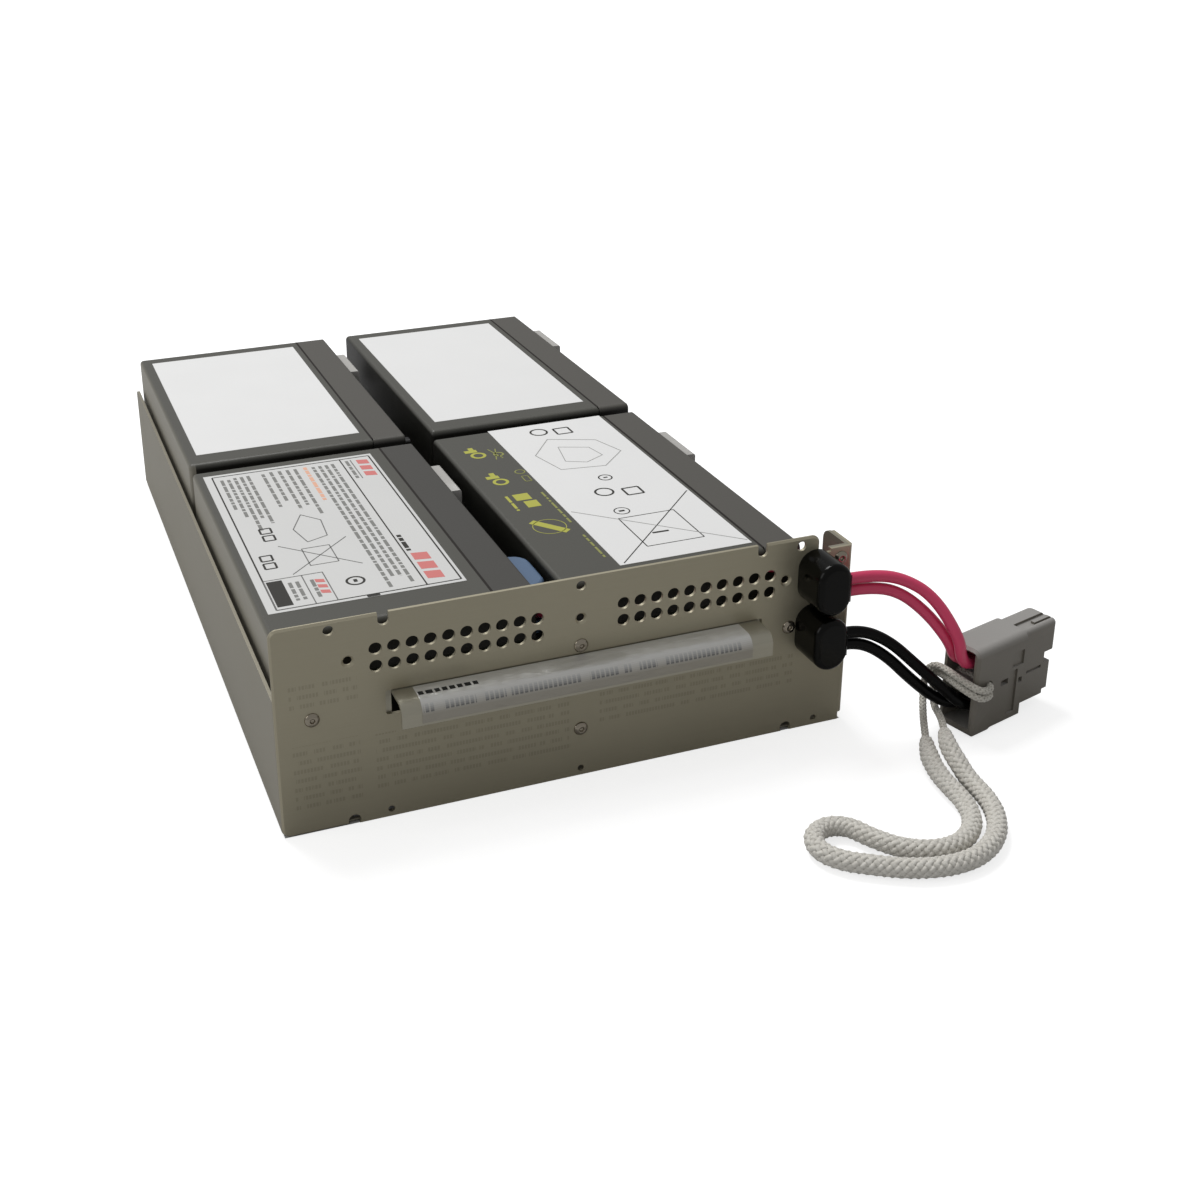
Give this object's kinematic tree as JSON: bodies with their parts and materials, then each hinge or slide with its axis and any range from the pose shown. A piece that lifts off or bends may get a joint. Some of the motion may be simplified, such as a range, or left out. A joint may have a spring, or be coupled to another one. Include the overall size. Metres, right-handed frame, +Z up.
{
  "type": "ups battery cartridge",
  "caption": "Replacement battery tray for a rack power supply: steel tray with perforated front, pull handle, sealed batteries lying flat, and cables to a plug-in connector.",
  "frame": {"origin": "bottom centre of the tray, panel and bushings, without the cables, connector and rope", "axes": "+Z up, -Y out of the front panel, +X to the right as seen from the front"},
  "size_m": [0.2923, 0.4251, 0.0775],
  "materials": {
    "tray_steel": "satin",
    "panel_steel": "satin",
    "handle_steel": "satin",
    "handle_foil": "satin",
    "rivet_metal": "satin",
    "case_plastic": "matte",
    "lid_plastic": "matte",
    "terminal_metal": "satin",
    "guard_plastic": "matte",
    "label_plain": "matte",
    "label_left": "matte",
    "label_right": "matte",
    "sleeve_plastic": "gloss",
    "boot_plastic": "satin",
    "foam_grey": "matte",
    "bushing_plastic": "gloss",
    "cable_red": "gloss",
    "cable_black": "gloss",
    "connector_plastic": "matte",
    "contact_metal": "satin",
    "string_cord": "matte",
    "rope_cord": "matte"
  },
  "bodies": {
    "root": {"battery_case_back_left": "case_plastic", "battery_case_back_right": "case_plastic", "battery_case_front_left": "case_plastic", "battery_case_front_right": "case_plastic", "battery_lid_back_left": "lid_plastic", "battery_lid_back_right": "lid_plastic", "battery_lid_front_left": "lid_plastic", "battery_lid_front_right": "lid_plastic", "bushing_lower": "bushing_plastic", "bushing_upper": "bushing_plastic", "cable_black_1": "cable_black", "cable_black_2": "cable_black", "cable_red_1": "cable_red", "cable_red_2": "cable_red", "connector_housing": "connector_plastic", "contact_black": "contact_metal", "contact_red": "contact_metal", "foam_spacer_left": "foam_grey", "foam_spacer_right": "foam_grey", "foam_tape_left": "foam_grey", "foam_tape_right": "foam_grey", "front_panel": "panel_steel", "handle_foil": "handle_foil", "handle_plate": "handle_steel", "jumper_left": "cable_black", "jumper_right": "cable_black", "label_back_left": "label_plain", "label_back_right": "label_plain", "label_front_left": "label_left", "label_front_right": "label_right", "lead_black_left": "cable_black", "lead_black_right": "cable_black", "lead_guard_back_left": "guard_plastic", "lead_guard_back_right": "guard_plastic", "lead_guard_front_left": "guard_plastic", "lead_guard_front_right": "guard_plastic", "lead_red_left": "cable_red", "lead_red_right": "cable_red", "panel_rivets": "rivet_metal", "pull_rope": "rope_cord", "pull_string_1": "string_cord", "pull_string_2": "string_cord", "spade_sleeves": "sleeve_plastic", "string_knot": "string_cord", "terminal_boot": "boot_plastic", "terminals_back_left": "terminal_metal", "terminals_back_right": "terminal_metal", "terminals_front_left": "terminal_metal", "terminals_front_right": "terminal_metal", "tray_pan": "tray_steel"}
  },
  "joints": []
}
